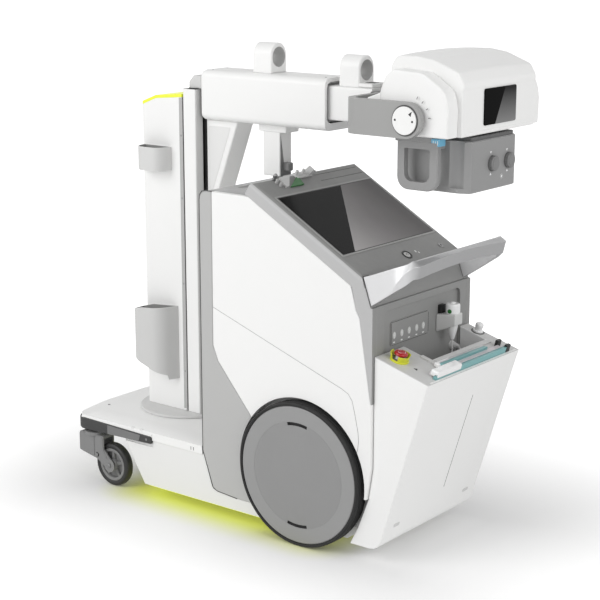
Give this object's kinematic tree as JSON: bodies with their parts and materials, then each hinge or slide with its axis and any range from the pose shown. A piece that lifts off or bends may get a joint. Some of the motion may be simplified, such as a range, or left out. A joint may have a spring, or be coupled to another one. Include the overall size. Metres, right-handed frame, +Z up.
{
  "type": "mobile x-ray machine",
  "caption": "Battery-driven mobile x-ray machine: wheeled body with console and detector bin, turning column, telescopic arm, tilting tube head and collimator.",
  "frame": {"origin": "on the floor under the middle of the machine's box, which is also its centre plane", "axes": "+X from the casters and column towards the operator's end with console, push handle and bin; +Y to the machine's left looking along +X; +Z up"},
  "size_m": [1.5075, 0.56, 1.5059],
  "materials": {
    "white_paint": "satin white powder coat",
    "light_grey": "fine-grained light grey",
    "grey": "fine-grained grey",
    "mid_grey": "satin grey paint",
    "dark_grey": "fine-grained dark grey",
    "black_plastic": "matt black",
    "drive_tyre": "smooth black tread",
    "caster_tyre": "smooth dark grey tread",
    "steel": "turned",
    "silver_paint": "metallic silver",
    "screen_glass": "gloss black cover over a screen",
    "light_strip": "yellow-green light strip",
    "teal_plastic": "satin teal",
    "yellow_plastic": "satin yellow",
    "red_plastic": "gloss red"
  },
  "bodies": {
    "chassis": {"base_skirt": "light_grey", "under_light": "light_strip", "front_deck": "white_paint", "front_bumper": "black_plastic", "body_core": "light_grey", "drive_axle": "steel", "side_accent_left": "grey", "side_accent_right": "grey", "side_panel_left": "white_paint", "side_panel_right": "white_paint", "console_frame": "dark_grey", "console_display": "screen_glass", "dock_cradle": "light_grey", "push_handle": "silver_paint", "rear_panel": "mid_grey", "cord_gland": "black_plastic", "hand_switch": "light_grey", "switch_cord": "light_grey", "detector_bin": "white_paint", "detector_rear": "teal_plastic", "detector_front": "teal_plastic", "stop_housing": "yellow_plastic", "stop_button": "red_plastic", "bin_knob": "light_grey"},
    "drive_wheel_left": {"drive_tyre_left": "drive_tyre", "drive_disc_left": "mid_grey"},
    "drive_wheel_right": {"drive_tyre_right": "drive_tyre", "drive_disc_right": "mid_grey"},
    "caster_swivel_left": {"caster_fork_left": "mid_grey"},
    "caster_swivel_right": {"caster_fork_right": "mid_grey"},
    "caster_wheel_left": {"caster_hub_left": "mid_grey", "caster_tyre_left": "caster_tyre"},
    "caster_wheel_right": {"caster_hub_right": "mid_grey", "caster_tyre_right": "caster_tyre"},
    "column": {"turntable": "grey", "column_cover": "white_paint", "column_light": "light_strip", "column_channel": "light_grey", "cup_holder": "light_grey", "side_pocket": "grey"},
    "boom": {"mast": "silver_paint", "boom_sleeve": "white_paint", "boom_gusset": "white_paint", "cable_loop_front": "white_paint", "dock_post": "white_paint"},
    "inner_boom": {"inner_arm": "white_paint", "cable_loop_rear": "white_paint"},
    "fork": {"roll_fork": "mid_grey"},
    "tube_head": {"tube_housing": "white_paint", "tube_cap_left": "white_paint", "tube_cap_right": "white_paint", "tilt_pin_left": "white_paint", "tilt_pin_right": "white_paint", "head_display": "screen_glass"},
    "collimator": {"collimator_body": "mid_grey", "collimator_ring": "black_plastic"}
  },
  "joints": [
    {"name": "drive_wheel_left_roll", "type": "hinge", "parent": "chassis", "child": "drive_wheel_left", "pos_m": [0.245, 0.255, 0.2275], "axis": [0, 1, 0], "continuous": true},
    {"name": "drive_wheel_right_roll", "type": "hinge", "parent": "chassis", "child": "drive_wheel_right", "pos_m": [0.245, -0.255, 0.2275], "axis": [0, 1, 0], "continuous": true},
    {"name": "caster_left_swivel", "type": "hinge", "parent": "chassis", "child": "caster_swivel_left", "pos_m": [-0.66, 0.234, 0.17], "axis": [0, 0, 1], "continuous": true},
    {"name": "caster_left_roll", "type": "hinge", "parent": "caster_swivel_left", "child": "caster_wheel_left", "pos_m": [-0.575, 0.234, 0.075], "axis": [0, 1, 0], "continuous": true},
    {"name": "caster_right_swivel", "type": "hinge", "parent": "chassis", "child": "caster_swivel_right", "pos_m": [-0.66, -0.234, 0.17], "axis": [0, 0, 1], "continuous": true},
    {"name": "caster_right_roll", "type": "hinge", "parent": "caster_swivel_right", "child": "caster_wheel_right", "pos_m": [-0.575, -0.234, 0.075], "axis": [0, 1, 0], "continuous": true},
    {"name": "column_swivel", "type": "hinge", "parent": "chassis", "child": "column", "pos_m": [-0.445, 0, 0.2523], "axis": [0, 0, 1], "range_deg": [-270, 270]},
    {"name": "column_lift", "type": "slide", "parent": "column", "child": "boom", "axis": [0, 0, 1], "range_m": [0, 0.55]},
    {"name": "boom_extend", "type": "slide", "parent": "boom", "child": "inner_boom", "axis": [1, 0, 0], "range_m": [0, 0.3]},
    {"name": "fork_roll", "type": "hinge", "parent": "inner_boom", "child": "fork", "pos_m": [0.375, 0, 1.331], "axis": [1, 0, 0], "range_deg": [-180, 180]},
    {"name": "head_tilt", "type": "hinge", "parent": "fork", "child": "tube_head", "pos_m": [0.616, 0, 1.331], "axis": [0, 1, 0], "range_deg": [-90, 10]},
    {"name": "collimator_turn", "type": "hinge", "parent": "tube_head", "child": "collimator", "pos_m": [0.616, 0, 1.2663], "axis": [0, 0, 1], "range_deg": [-90, 90]}
  ]
}
